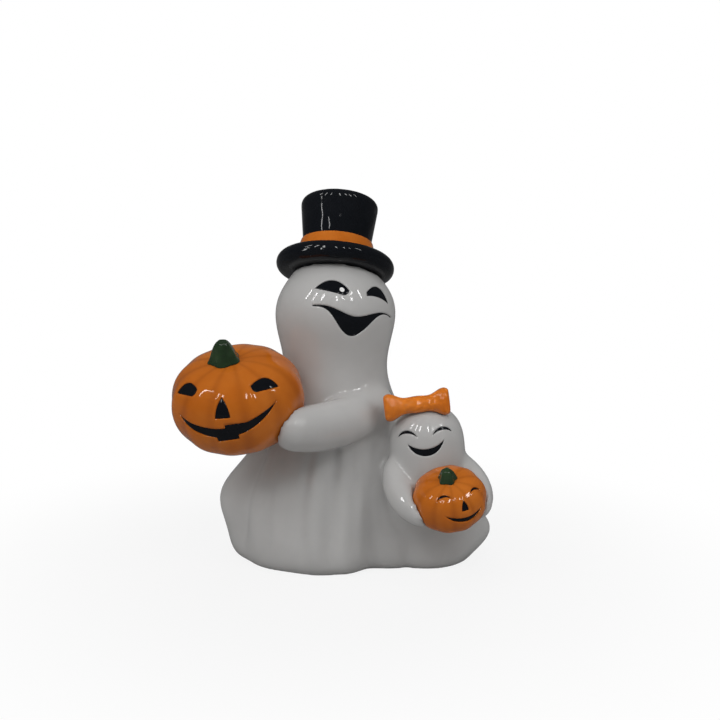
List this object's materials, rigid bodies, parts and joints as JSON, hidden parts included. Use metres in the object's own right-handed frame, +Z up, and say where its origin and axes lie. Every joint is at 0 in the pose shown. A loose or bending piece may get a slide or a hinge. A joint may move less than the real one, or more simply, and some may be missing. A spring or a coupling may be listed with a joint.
{
  "type": "ceramic ghost figure",
  "caption": "Glazed ceramic ghost in a top hat holding a jack-o'-lantern, with a small bow-topped ghost at its side holding a little one; a shelf or table ornament.",
  "frame": {"origin": "middle of the figure's bounding box, on the plane that it stands on", "axes": "+Z up, -Y towards the viewer of the picture, +X to the viewer's right"},
  "size_m": [0.1686, 0.1191, 0.2001],
  "materials": {
    "white_glaze": "gloss",
    "black_glaze": "gloss",
    "orange_glaze": "gloss",
    "green_glaze": "gloss"
  },
  "bodies": {
    "root": {"ghost_body": "white_glaze", "front_arm": "white_glaze", "back_arm": "white_glaze", "ghost_eye_glint": "white_glaze", "small_ghost_body": "white_glaze", "small_ghost_left_arm": "white_glaze", "small_ghost_right_arm": "white_glaze", "hat_band": "orange_glaze", "pumpkin": "orange_glaze", "bow": "orange_glaze", "small_pumpkin": "orange_glaze", "pumpkin_stem": "green_glaze", "small_pumpkin_stem": "green_glaze", "hat_brim": "black_glaze", "hat_crown": "black_glaze", "ghost_open_eye": "black_glaze", "ghost_winking_eye": "black_glaze", "ghost_mouth": "black_glaze", "pumpkin_left_eye": "black_glaze", "pumpkin_right_eye": "black_glaze", "pumpkin_nose": "black_glaze", "pumpkin_mouth": "black_glaze", "small_ghost_left_eye": "black_glaze", "small_ghost_right_eye": "black_glaze", "small_ghost_mouth": "black_glaze", "small_pumpkin_left_eye": "black_glaze", "small_pumpkin_right_eye": "black_glaze", "small_pumpkin_nose": "black_glaze", "small_pumpkin_mouth": "black_glaze"}
  },
  "joints": []
}
